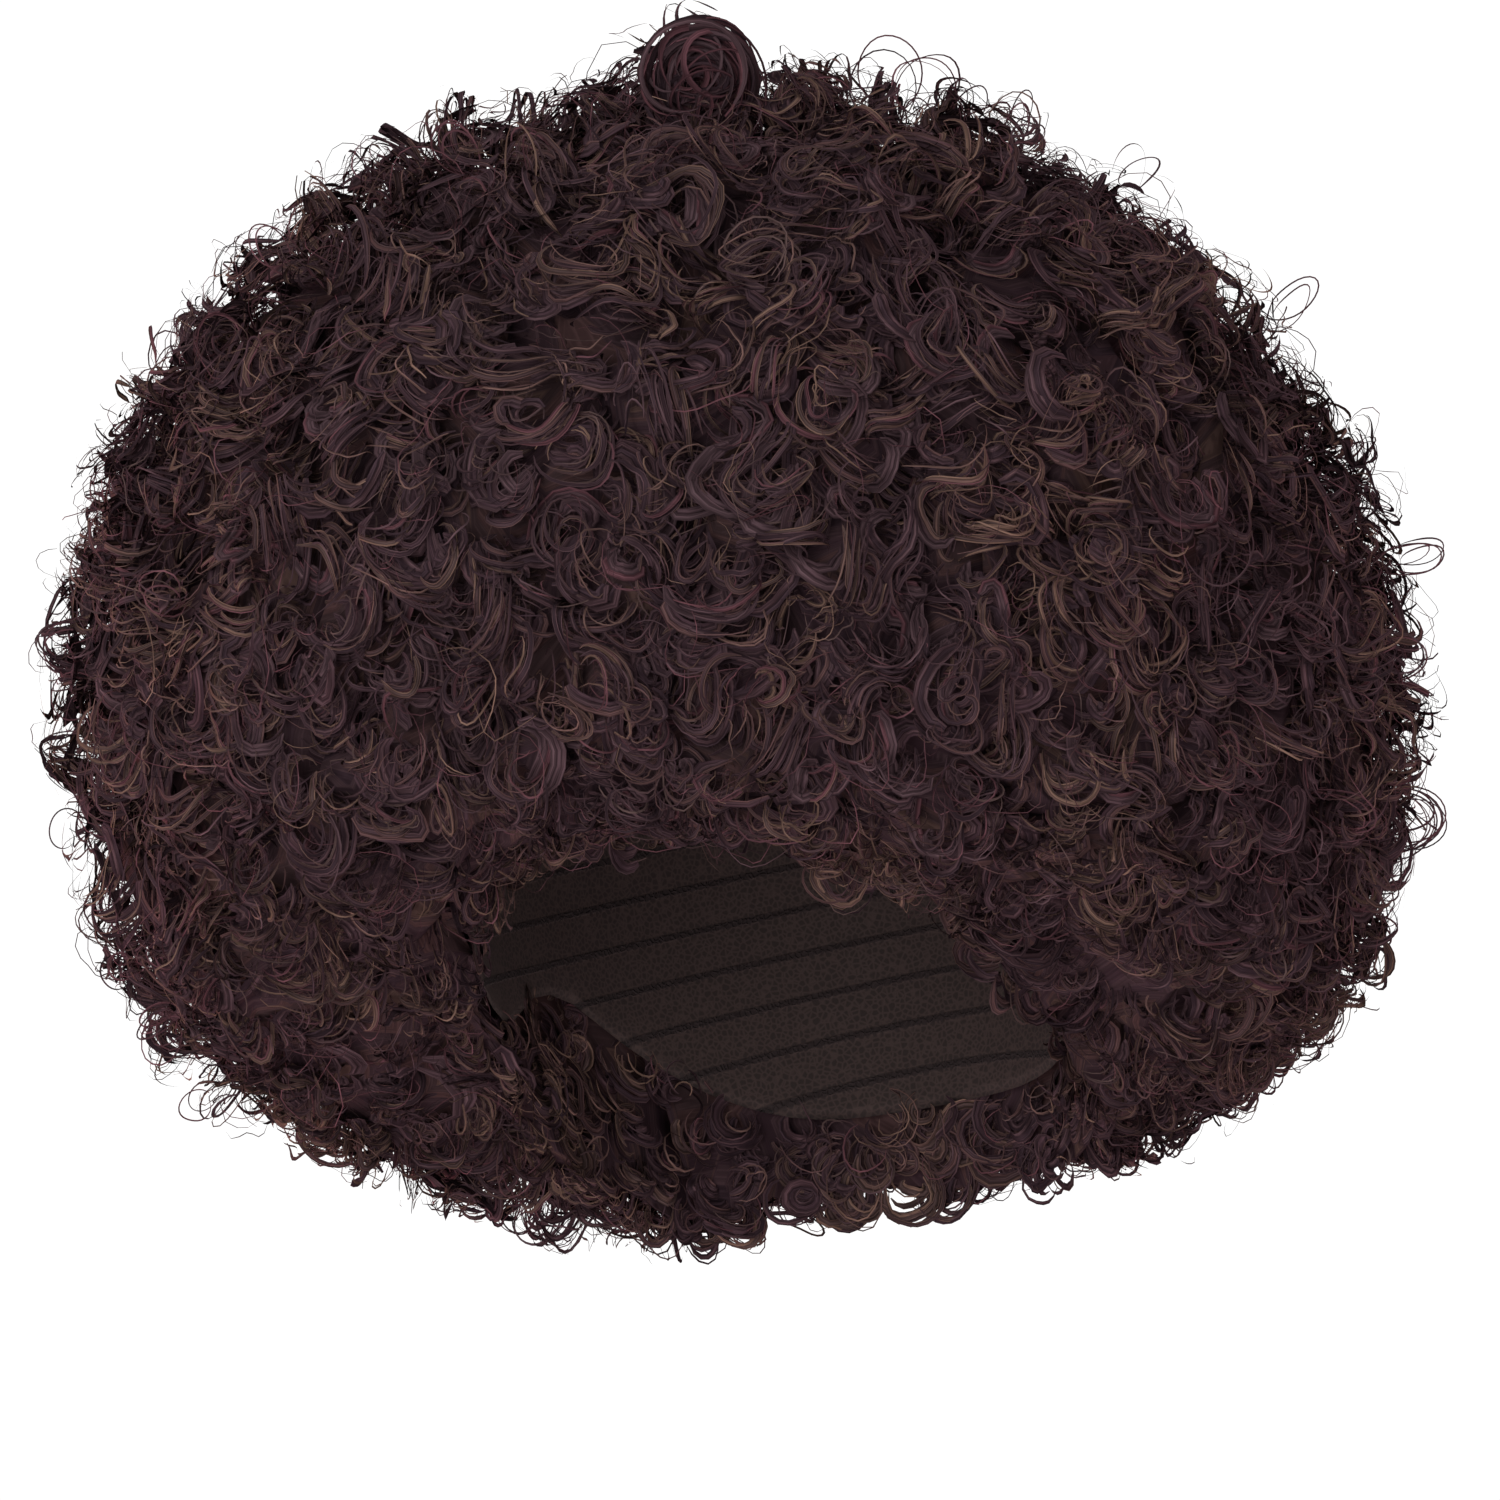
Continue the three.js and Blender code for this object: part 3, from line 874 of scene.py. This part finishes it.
@dataclass
class CurlMaker:
    """Winds strands round the plans of their locks, clear of the head.

    Spreads are standard deviations, pairs are ranges, and starts are shares of a strand.
    """

    head: HeadForm
    field: Unevenness
    low: Array
    high: Array
    stray_limit: float = 8 * MM
    slide: float = 1.6 * MM
    turn_spread: float = 0.1
    angle_spread: float = 0.35
    outer: float = 1.05
    root_size: float = 1.1
    tip_loss: float = 0.25
    flare_rise: float = 5 * MM
    flare_start: float = 0.65
    least_radius: float = 2.5 * MM
    wave_cycles: tuple[float, float] = (0.8, 2.2)
    wave_rise: float = 0.6
    root_curve: float = 1.3
    sunk_share: float = 0.55
    tone_spread: float = 0.75
    roll_spread: float = 0.35
    lane_places: tuple[float, float] = (0.3, 0.7)

    def wind(self, plan: LockPlan, style: CurlStyle, rng: Random, clear: bool = True) -> Strands:
        """Winds the strands of every lock in a plan.

        Args:
            plan: The locks.
            style: How the strands wind.
            rng: The random source.
            clear: Whether the strands are kept out of the head.

        Returns:
            The strands. Each starts under the surface and ends in the curl's last arc.
        """
        locks, each = len(plan.seats), style.per_lock
        count, strands = locks * each, (locks, each, 1)
        share = np.linspace(0, 1, style.steps)
        turns, start, size, squash = (values[:, None, None] for values in (
            plan.turns, plan.start, plan.radius, plan.squash))
        turns = turns * (1 + rng.normal(0, self.turn_spread, strands))
        angle = start + rng.normal(0, self.angle_spread, strands) + 2 * np.pi * turns * share
        ring = rng.uniform(style.inner, self.outer, strands)
        radius = size * ring * (self.root_size - self.tip_loss * share)
        loose = rng.random(strands) < style.flare
        radius = radius + loose * self.flare_rise * np.clip(share - self.flare_start, 0, 1)
        cycles = rng.uniform(*self.wave_cycles, strands) * share
        wave = style.wave * MM * np.sin(2 * np.pi * (cycles + rng.random(strands)))
        radius = np.maximum(radius, self.least_radius) + wave
        proud = rng.uniform(*style.proud, locks)[:, None, None] * MM
        rise = (-style.root_depth * MM * (1 - share) ** self.root_curve + proud
                + rng.normal(0, style.spread * MM, strands) + self.wave_rise * wave)
        out = radius * np.cos(angle) + rng.normal(0, self.slide, strands)
        along = radius * squash * np.sin(angle) + rng.normal(0, self.slide, strands)
        sink = self.sunk_share * plan.radius * np.sin(plan.tilt)
        lines = (plan.seats - plan.normals * sink[:, None])[:, None, None]
        for way, reach in ((plan.axes, rise), (plan.first, out), (plan.second, along)):
            lines = lines + way[:, None, None] * reach[..., None]
        lines = lines.reshape(count, style.steps, 3)
        lines = lines + style.bend * self.field.push(lines)
        if clear:
            lines = self.head.push_out(lines)
        tone = self.field.tone(plan.seats) + rng.normal(0, self.tone_spread, locks)
        strips = style.strips(np.repeat(tone, each), rng)
        facing = plan.axes if style.standing else plan.normals
        return Strands(
            lines, np.repeat(facing, each, axis=0), rng.uniform(*style.width, count) * MM,
            rng.normal(0, self.roll_spread, count),
            strips + rng.uniform(*self.lane_places, count), style.lane_width)

    def inside_limits(self, strands: Strands) -> Strands:
        """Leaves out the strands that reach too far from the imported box.

        Args:
            strands: Loose strands.

        Returns:
            Those that stay within the limit.
        """
        fits = ((strands.lines > self.low - self.stray_limit)
                & (strands.lines < self.high + self.stray_limit)).all(axis=(1, 2))
        for name in ("lines", "facing", "widths", "roll", "lane"):
            setattr(strands, name, getattr(strands, name)[fits])
        return strands


# Styles of strands, from the broad dark ones below to the loose loops and single hairs
DARK, BROWN, LIGHT, PAINTED_BACKLIGHT, DEEP = Shade
UNDER = CurlStyle(
    steps=9, per_lock=2, turns=(0.4, 0.7), tilt=(0, 16), inner=0.3, lane_width=2.8,
    radius=(6, 11), root_depth=1, proud=(-6, -3.5), spread=0.8, wave=0.6, width=(2.8, 4.5),
    shades={DEEP: 0.3, DARK: 0.7})
WISPS = CurlStyle(
    steps=16, per_lock=5, turns=(0.5, 0.9), tilt=(5, 68), inner=0.4, flare=0.15, lane_width=1.9,
    radius=(5, 11.5), root_depth=9, proud=(-4.5, 2.5), spread=2.4, wave=0.9, width=(0.7, 1.8),
    shades={DARK: 0.55, PAINTED_BACKLIGHT: 0.04, BROWN: 0.4, LIGHT: 0.01})
FINE = CurlStyle(
    steps=15, per_lock=6, turns=(0.5, 0.9), tilt=(5, 68), inner=0.35, flare=0.35, lane_width=0.3,
    radius=(5, 11.5), root_depth=8, proud=(-3, 2.5), spread=2.8, wave=1.1, width=(0.25, 0.6),
    shades={DARK: 0.38, PAINTED_BACKLIGHT: 0.06, BROWN: 0.42, LIGHT: 0.14})
HEM_WISPS, HEM_FINE = (
    replace(style, steps=15, per_lock=count, turns=(0.55, 0.9), tilt=(50, 95),
            radius=(4.5, widest), proud=(-3, 3), standing=True)
    for style, count, widest in ((WISPS, 5, 8), (FINE, 8, 9)))
FRIZZ = CurlStyle(
    steps=10, per_lock=1, turns=(0.3, 0.7), tilt=(0, 50), inner=0.6, flare=0.4, lane_width=0.1,
    radius=(6, 14), root_depth=5, proud=(-1, 3), spread=3.0, wave=1.2, width=(0.2, 0.3),
    shades={PAINTED_BACKLIGHT: 0.3, BROWN: 0.4, LIGHT: 0.3})
# Loose loops, hairs, rings and the knob take much of the wine red strips, painted backlight on thin fibre.
LOOPS = CurlStyle(
    steps=16, per_lock=3, turns=(0.85, 1.1), tilt=(60, 95), inner=0.85, flare=0.2, lane_width=0.12,
    radius=(5, 9), root_depth=4, proud=(0, 4), spread=0.7, wave=0.5, width=(0.3, 0.5),
    shades={DARK: 0.2, PAINTED_BACKLIGHT: 0.6, BROWN: 0.2}, standing=True)
HAIRS = CurlStyle(
    steps=10, per_lock=2, turns=(0.3, 0.7), tilt=(50, 100), inner=0.8, flare=0.6, lane_width=0.1,
    radius=(5, 13), root_depth=4, proud=(-1, 6), spread=1.0, wave=0.8, width=(0.18, 0.28),
    shades={DARK: 0.2, PAINTED_BACKLIGHT: 0.5, BROWN: 0.3}, standing=True)
LINING = CurlStyle(
    steps=12, per_lock=6, turns=(0.5, 0.9), tilt=(0, 30), inner=0.3, lane_width=1.9,
    radius=(5, 10), root_depth=1.5, proud=(0, 2.5), spread=0.8, wave=0.6, width=(1.0, 3.5),
    shades={DARK: 0.7, BROWN: 0.3}, bend=0.5)
LINING_FINE = replace(LINING, per_lock=4, lane_width=0.3, proud=(1, 4), spread=1.5,
                      width=(0.3, 0.6), shades=FINE.shades)
RING = CurlStyle(
    steps=26, per_lock=1, turns=(0.8, 1.15), tilt=(0, 0), inner=0.9, lane_width=0.12,
    radius=(0.85, 1.1), root_depth=2, proud=(0, 0.5), spread=0.8, wave=0.5, width=(0.35, 0.6),
    shades={DEEP: 0.4, PAINTED_BACKLIGHT: 0.6}, standing=True, bend=0.4)
KNOB = CurlStyle(
    steps=26, per_lock=1, turns=(0.8, 1.2), tilt=(0, 0), inner=0.3, lane_width=0.9,
    radius=(0.9, 1.0), root_depth=3, proud=(-4, 5), spread=4.5, wave=0.5, width=(0.4, 1.8),
    shades={DEEP: 0.2, DARK: 0.4, PAINTED_BACKLIGHT: 0.4}, standing=True, bend=0.1)


@dataclass
class OutlineLoops:
    """Loops that stand off the outline, as seen from the front quarter.

    Each row of the table is a loop: its centre across and up in the plane of the view and its
    radius, all in millimetres, how narrow it is and how many strands it has. The radius of the
    style is a share of the loop's.
    """

    style: CurlStyle
    rows: tuple[tuple[float, float, float, float, int], ...]
    axis_jitter: float = 0.3
    start_spread: float = 0.25
    nodes: Array = field(init=False)
    plan: LockPlan = field(init=False)

    def settle(self, guide: HairGuide, view: "Studio", rng: Random) -> None:
        """Plans one lock for each strand of each loop, as deep as the nearest hair.

        Args:
            guide: Seats over the whole wig, which say what piece a loop belongs to.
            view: The camera's place, which sets the plane of the table.
            rng: The random source.
        """
        target, across, along, back = (np.array(v) for v in view.axes())
        seats = guide.places - target
        nearness = 1 - seats @ back / view.distance
        seen = np.stack([seats @ across, seats @ along], axis=-1) / nearness[:, None]
        table = np.repeat(np.array([row[:4] for row in self.rows]), [row[4] for row in self.rows], axis=0)
        count = len(table)
        gaps = np.linalg.norm(seen[None] - table[:, None, :2] * MM, axis=2)
        nearest = gaps.argmin(axis=1)
        self.nodes = guide.nodes[nearest]
        offsets = (across * table[:, :1] + along * table[:, 1:2]) * MM
        centres = (target + offsets * nearness[nearest, None] + back * (seats @ back)[nearest, None])
        axes = unit(back + rng.normal(0, self.axis_jitter, (count, 3)))
        first = unit(square_part(unit(offsets), axes))
        turns = rng.uniform(*self.style.turns, count)
        radius = table[:, 2] * MM * rng.uniform(*self.style.radius, count)
        start = rng.normal(0, self.start_spread, count) - np.pi * turns
        self.plan = LockPlan(centres, first, axes, first, np.cross(axes, first), radius, turns,
                             start, np.zeros(count), table[:, 3])


TOP_KNOB = OutlineLoops(KNOB, ((-13.2, 176, 14.5, 1.0, 110),))
STRAY_RINGS = OutlineLoops(RING, (
    (36.3, 175.8, 10, 0.9, 2), (45, 174.2, 11, 0.8, 3), (55.8, 173, 6, 0.6, 3),
    (70, 166, 6, 0.6, 2), (73.9, 161.7, 5, 0.9, 3), (102.6, 152, 8, 0.6, 2),
    (140, 116, 8, 0.6, 2), (174, 50, 8.5, 0.5, 4), (172, 24.5, 7, 0.9, 4),
    (174, -18.4, 8.5, 0.95, 9), (163, -46, 7, 0.6, 4), (157, -55.3, 6, 0.5, 3),
    (-178, 26.1, 7.2, 0.85, 6), (-180, 16.8, 6, 1, 1), (-180, 2.1, 6, 0.4, 4),
    (-177, -20.8, 4.4, 1, 1), (-166, -48.7, 6.5, 0.95, 4), (-163, -60.5, 4.6, 0.9, 2),
    (-156, -72, 5, 0.5, 4), (-145.4, -91, 4.5, 0.9, 2), (-59, -122, 7, 0.8, 5),
    (99, -98, 7, 0.7, 4), (-124, 130, 8, 0.7, 2), (-75, 158, 9, 0.6, 3)))


@dataclass
class Backing:
    """The dark inner mass of a hair piece, sunk below the curls that hide it."""

    node: str
    head: HeadForm
    guide: HairGuide
    sink: float = 10 * MM
    least: float = 4 * MM
    wall_share: float = 0.4
    blend: float = 8 * MM
    full_slope: float = 0.7
    dark_share: float = 0.5

    def build(self, rng: Random) -> MeshArrays:
        """Copies the node, merges its corners and draws it in towards the head.

        Args:
            rng: The random source. It lays each corner somewhere on the chart's darker half.

        Returns:
            Arrays of the closed backing.
        """
        copy = merged_copy(self.node, self.node + "_mass")
        places, triangles = read_mesh(copy.data)
        bpy.data.objects.remove(copy)
        chart = rng.random((len(places), 2)) * (1, self.dark_share)
        return MeshArrays(self.drawn_in(places), triangles, chart)

    def drawn_in(self, places: Array) -> Array:
        """Moves the mass in below the locks.

        Args:
            places: Corners of the mass.

        Returns:
            The corners, moved. The move depends on the place alone, so that the two sides of
            a seam stay together.
        """
        gaps = np.linalg.norm(places[:, None] - self.guide.places[None], axis=2)
        near = np.exp(-(gaps / self.blend) ** 2)
        ways = near @ self.guide.normals / np.maximum(near.sum(axis=1), 1)[:, None]
        outward = unit(places - (0, 0, self.head.centre_height))
        depth = np.clip(self.wall_share * self.head.height_above(places), 0, self.sink)
        least = self.least * (1 - depth / self.sink)
        depth += np.clip(-self.guide.fullness(places), 0, None)
        depth *= np.clip(self.full_slope + np.sum(ways * outward, axis=1), 0, 1)
        return places - outward * depth[:, None] - ways * least[:, None]


@dataclass
class HairPiece:
    """One piece of the wig's hair: its backing, its locks and its loose hairs."""

    node: str
    number: int
    hem_slope: float = -0.5
    planner: LockPlanner = LockPlanner()
    layers: tuple[tuple[CurlStyle, float], ...] = ((UNDER, 1.0), (FRIZZ, 0.5), (LOOPS, 0.15), (HAIRS, 0.7))

    def build(self, guide: HairGuide, maker: CurlMaker, finishes: tuple[Material, Material]) -> Object:
        """Builds and dresses the piece.

        Args:
            guide: Seats over the whole wig.
            maker: The winder of strands.
            finishes: The materials of the strands and of the backing.

        Returns:
            The piece, in place of its node.
        """
        rng = np.random.default_rng(SEED + self.number)
        mine = guide.nodes == self.number
        outer, inner = mine & ~guide.lining, mine & guide.lining
        seats, normals = guide.places[outer], guide.normals[outer]
        parts = [Backing(self.node, maker.head, guide).build(rng)]
        for style, share in self.layers:
            some = rng.random(len(seats)) < share
            plan = self.planner.drawn(seats[some], normals[some], style, rng)
            parts.append(maker.inside_limits(maker.wind(plan, style, rng)).swept())
        hem = normals[:, 2] < self.hem_slope
        for area, styles in ((~hem, (WISPS, FINE)), (hem, (HEM_WISPS, HEM_FINE))):
            locks = self.planner.drawn(seats[area], normals[area], styles[0], rng)
            parts += [maker.wind(locks, style, rng).swept() for style in styles]
        if inner.any():
            plan = self.planner.drawn(guide.places[inner], guide.normals[inner], LINING, rng)
            parts += [maker.wind(plan, style, rng, clear=False).swept() for style in (LINING, LINING_FINE)]
        for loops in (TOP_KNOB, STRAY_RINGS):
            own = loops.nodes == self.number
            if own.any():
                strands = maker.wind(loops.plan.picked(own), loops.style, rng)
                parts.append(maker.inside_limits(strands).swept())
        arrays = MeshArrays.joined(parts)
        name = self.node.removeprefix("hair_") + "_curls"
        piece = arrays.to_object(name, len(parts[0].triangles))
        for finish in finishes:
            piece.data.materials.append(finish)
        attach(piece, BODY)
        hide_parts(self.node)
        return piece


@dataclass
class NetCap:
    """The knitted cap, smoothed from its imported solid."""

    levels: int = 1

    def build(self, finish: Material) -> Object:
        """Copies the cap's node, merges it and rounds it off.

        Args:
            finish: The net material.

        Returns:
            The piece, in place of the cap's node.
        """
        cap = merged_copy(CAP_NODE, "net_cap", quads=True)
        rounding = cap.modifiers.new("rounding", "SUBSURF")
        rounding.levels = rounding.render_levels = self.levels
        bpy.ops.object.modifier_apply(modifier=rounding.name)
        bpy.ops.object.shade_smooth()
        cap.data.materials.clear()
        cap.data.materials.append(finish)
        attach(cap, BODY)
        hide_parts(CAP_NODE)
        return cap


@dataclass(frozen=True)
class Softbox:
    """A square area light that faces the wig, in metres and watts."""

    name: str
    place: tuple[float, float, float]
    size: float
    power: float
    colour: str = "ffffff"
    aim: tuple[float, float, float] = (0, 0, -0.04)

    def hang(self) -> None:
        """Hangs the light."""
        bpy.ops.object.light_add(type="AREA", location=self.place)
        lamp = bpy.context.object
        lamp.name = self.name
        lamp.data.size = self.size
        lamp.data.energy = self.power
        lamp.data.color = linear(self.colour)[:3]
        way = Vector(self.aim) - Vector(self.place)
        lamp.rotation_euler = way.to_track_quat("-Z", "Y").to_euler()


RIM_COLOUR = "ffc6cd"
LAMPS = tuple(Softbox(*row) for row in (
    ("key", (-0.3, -2.3, 1.2), 1.2, 14),
    ("fill", (0.4, -2.45, 0.15), 1.0, 40),
    ("top", (0.1, -0.3, 2.0), 1.4, 16),
    ("rim_left", (1.9, 0.9, 0.3), 0.8, 16, RIM_COLOUR),
    ("rim_right", (-2.0, 0.2, 0.1), 0.8, 84, RIM_COLOUR)))


@dataclass
class Studio:
    """Camera, lights, floor and white backdrop."""

    azimuth: float = 25.0
    roll: float = 11.7
    distance: float = 2400 * MM
    field_width: float = 394.7 * MM
    target_side: float = 1.5 * MM
    target_height: float = -59 * MM
    floor_height: float = -900 * MM
    floor_radius: float = 5.0
    floor_sides: int = 96
    sensor: float = 36.0
    far_clip: float = 100.0
    white: str = "ffffff"
    white_strength: float = 1.08

    def build(self) -> None:
        """Builds the studio."""
        self.camera()
        self.floor()
        for lamp in LAMPS:
            lamp.hang()
        self.backdrop()

    def axes(self) -> tuple[Vector, Vector, Vector, Vector]:
        """Works out the camera's directions.

        Returns:
            The point it looks at, and its directions across, up and back.
        """
        turn, lean = math.radians(self.azimuth), math.radians(self.roll)
        right = Vector((math.cos(turn), math.sin(turn), 0))
        back = Vector((math.sin(turn), -math.cos(turn), 0))
        up = Vector((0, 0, 1))
        return (right * self.target_side + up * self.target_height,
                right * math.cos(lean) - up * math.sin(lean),
                right * math.sin(lean) + up * math.cos(lean), back)

    def camera(self) -> None:
        """Places the camera, turned to the wearer's left and rolled as the head leans."""
        target, across, along, back = self.axes()
        bpy.ops.object.select_all(action="DESELECT")
        bpy.ops.object.camera_add()
        camera = bpy.context.object
        camera.matrix_world = Matrix.Translation(target + back * self.distance) @ Matrix(
            (across, along, back)).transposed().to_4x4()
        camera.data.sensor_width = self.sensor
        camera.data.lens = self.sensor * self.distance / self.field_width
        camera.data.clip_end = self.far_clip
        bpy.context.scene.camera = camera

    def floor(self) -> None:
        """Lays the floor well below the wig."""
        bpy.ops.object.select_all(action="DESELECT")
        bpy.ops.mesh.primitive_circle_add(vertices=self.floor_sides, radius=self.floor_radius,
                                          fill_type="NGON", location=(0, 0, self.floor_height))
        floor = bpy.context.object
        floor.name = "studio_floor"
        floor.data.materials.append(FloorFinish().build())

    def backdrop(self) -> None:
        """Surrounds all with an even white."""
        world = bpy.data.worlds.new("white_backdrop")
        world.use_nodes = True
        world.node_tree.nodes.clear()
        white = add_node(world, "Background", None, {0: linear(self.white), 1: self.white_strength})
        add_node(world, "OutputWorld", {0: white})
        bpy.context.scene.world = world
        bpy.context.scene.view_settings.view_transform = "Standard"


def main() -> None:
    """Builds the studio, the cap and the six pieces of hair."""
    logging.basicConfig(level=logging.INFO, format="%(name)s %(message)s")
    studio = Studio()
    studio.build()
    pieces = [NetCap().build(NetFinish().build())]
    guide = HairGuide()
    LOG.info("%d seats", len(guide.places))
    rng = np.random.default_rng(SEED)
    for loops in (TOP_KNOB, STRAY_RINGS):
        loops.settle(guide, studio, rng)
    maker = CurlMaker(HeadForm(), Unevenness(), np.array(CAD_BOX[0]), np.array(CAD_BOX[1]))
    finishes = (FibreFinish().build(), MATTED_FIBRE.build())
    for number, node in enumerate(HAIR_NODES):
        pieces.append(HairPiece(node, number).build(guide, maker, finishes))
    for piece in pieces:
        LOG.info("%s: %d faces", piece.name, len(piece.data.polygons))


if __name__ == "__main__":
    main()
